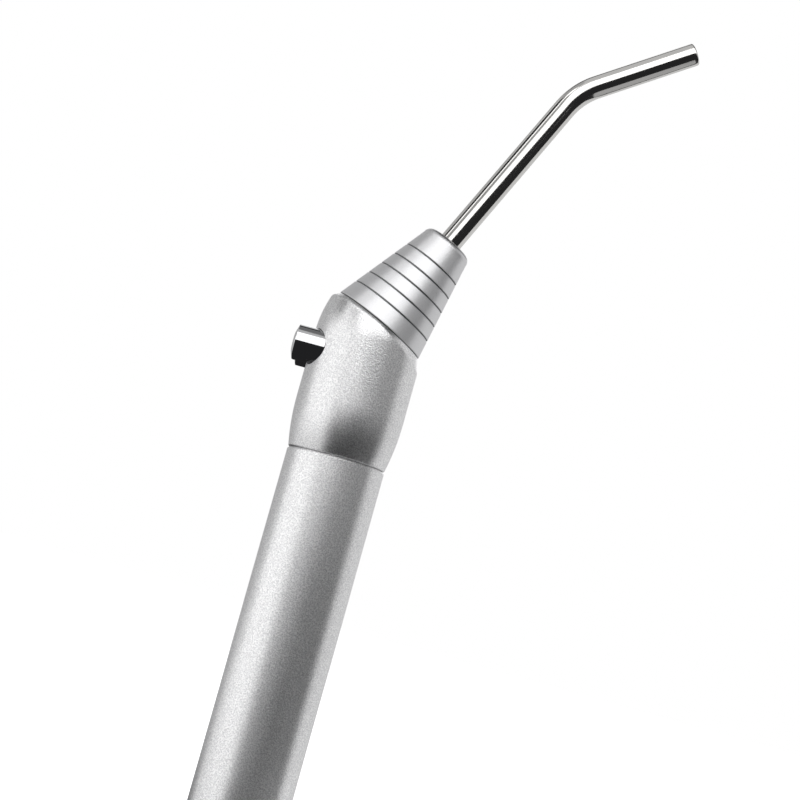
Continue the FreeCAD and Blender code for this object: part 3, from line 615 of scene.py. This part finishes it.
TUBE_RADIUS = 1.93 * MM
TUBE_BORE = 1.58 * MM
TUBE_START = -2.3 * MM
TUBE_SIDES = 96
TUBE_STEP = 0.5 * MM
RIM_ROUND = 0.3 * MM
RIM_STEPS = 6
AIR_HOLE_HEIGHT = 0.2 * MM
AIR_HOLE_RADIUS = 0.45 * MM
DRILL_SIDES = 32


def line_frame(run):
    """(centre, side, across, axis) of the nozzle's bent line, this far along it from the seat."""
    bend_start = (BEND_CORNER - NOZZLE_SEAT).length - BEND_TANGENT
    angle = min(max((run - bend_start) / BEND_RADIUS, 0), BEND_ANGLE)
    axis = Quaternion(ACROSS, angle) @ NOZZLE_AXIS
    side = ACROSS.cross(axis)
    if run <= bend_start:
        return NOZZLE_SEAT + NOZZLE_AXIS * run, side, ACROSS, axis
    first_side = ACROSS.cross(NOZZLE_AXIS)
    pivot = NOZZLE_SEAT + NOZZLE_AXIS * bend_start + first_side * BEND_RADIUS
    centre = pivot - side * BEND_RADIUS
    past_bend = max(run - bend_start - BEND_RADIUS * BEND_ANGLE, 0)
    return centre + axis * past_bend, side, ACROSS, axis


def make_nozzle_tube():
    """The bent tube, with a rounded outlet rim and four air holes near its lower end."""
    straight = (BEND_CORNER - NOZZLE_SEAT).length - 2 * BEND_TANGENT
    length = straight + BEND_RADIUS * BEND_ANGLE + OUTLET_RUN
    points = [
        Vector((TUBE_BORE, length)), Vector((TUBE_BORE, TUBE_START)), Vector((TUBE_RADIUS, TUBE_START)),
    ]
    for number in range(RIM_STEPS + 1):
        angle = math.pi / 2 * number / RIM_STEPS
        points.append(Vector((
            TUBE_RADIUS - RIM_ROUND * (1 - math.cos(angle)), length - RIM_ROUND * (1 - math.sin(angle)),
        )))
    ring = eased(points, True, 0.02 * MM, TUBE_STEP)
    vertices, faces, _ = spin(ring, True, TUBE_SIDES, line_frame)
    mesh = bpy.data.meshes.new("nozzle_tube_fine")
    mesh.from_pydata(vertices, [], faces)
    piece = stand_in("nozzle_tube", mesh)
    middle = NOZZLE_SEAT + NOZZLE_AXIS * AIR_HOLE_HEIGHT
    for way in (ACROSS, ACROSS.cross(NOZZLE_AXIS)):
        drill = round_bar(middle, way, AIR_HOLE_RADIUS, 1.5 * TUBE_RADIUS, DRILL_SIDES)
        cut = piece.modifiers.new("air_hole", "BOOLEAN")
        cut.operation = "DIFFERENCE"
        cut.solver = "EXACT"
        cut.object = drill
        bpy.context.view_layer.update()
        evaluated = piece.evaluated_get(bpy.context.evaluated_depsgraph_get())
        final = bpy.data.meshes.new_from_object(evaluated)
        piece.modifiers.clear()
        piece.data = final
        bpy.data.objects.remove(drill)
    piece.data.shade_smooth()
    piece.data.set_sharp_from_angle(angle=math.radians(30))


def round_bar(middle, way, radius, half, sides):
    """A plain round bar, used only as a cutter."""
    side = way.orthogonal().normalized()
    corners = ((0, -half), (radius, -half), (radius, half), (0, half))
    ring = [(Vector(corner), Vector((1, 0))) for corner in corners]
    vertices, faces, _ = spin(
        ring, False, sides, lambda height: (middle + way * height, side, way.cross(side), way),
    )
    mesh = bpy.data.meshes.new("cutter")
    mesh.from_pydata(vertices, [], faces)
    bar = bpy.data.objects.new("cutter", mesh)
    bpy.context.scene.collection.objects.link(bar)
    return bar


SPRING_MEAN = 2.14 * MM
WIRE_RADIUS = 0.16 * MM
SPRING_TURNS = 6
TURN_STEPS = 48
WIRE_SIDES = 14


def spring_mesh(name, low, high, middle):
    """The CAD spring's own helix along X between low and high, in finer steps.

    Both its ends are on the +Z side.
    """
    rise = (high - low - 2 * WIRE_RADIUS) / SPRING_TURNS
    vertices, faces = [], []
    for number in range(SPRING_TURNS * TURN_STEPS + 1):
        turned = number / TURN_STEPS
        spoke = Vector((0, -math.sin(2 * math.pi * turned), math.cos(2 * math.pi * turned)))
        centre = middle + RIGHT * (low + WIRE_RADIUS + turned * rise) + spoke * SPRING_MEAN
        for side in range(WIRE_SIDES):
            angle = 2 * math.pi * side / WIRE_SIDES
            vertices.append(centre + (spoke * math.cos(angle) + RIGHT * math.sin(angle)) * WIRE_RADIUS)
    for number in range(SPRING_TURNS * TURN_STEPS):
        for side in range(WIRE_SIDES):
            after = (side + 1) % WIRE_SIDES
            here, ahead = number * WIRE_SIDES, (number + 1) * WIRE_SIDES
            faces.append((here + side, ahead + side, ahead + after, here + after))
    last = SPRING_TURNS * TURN_STEPS * WIRE_SIDES
    faces.append(tuple(range(WIRE_SIDES)))
    faces.append(tuple(range(last + WIRE_SIDES - 1, last - 1, -1)))
    mesh = bpy.data.meshes.new(name)
    mesh.from_pydata(vertices, [], faces)
    mesh.shade_smooth()
    mesh.set_sharp_from_angle(angle=math.radians(50))
    return mesh


def make_springs():
    """Each spring is a finer helix that moves as a whole with its button."""
    for valve in VALVES:
        node, joint = f"return_spring_{valve}", joints[f"{valve}_button_press"]
        low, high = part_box(node)
        middle = middle_line(node, RIGHT)
        mesh = spring_mesh(f"{node}_fine", low.x, high.x, middle)
        piece = stand_in(node, mesh)
        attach(piece, f"{valve}_button")
        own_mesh(piece)


make_camera()
make_lights()
make_world()
make_floor()
materials = make_materials()
dress_cad(materials)
make_turned_pieces()
make_nozzle_tube()
make_springs()
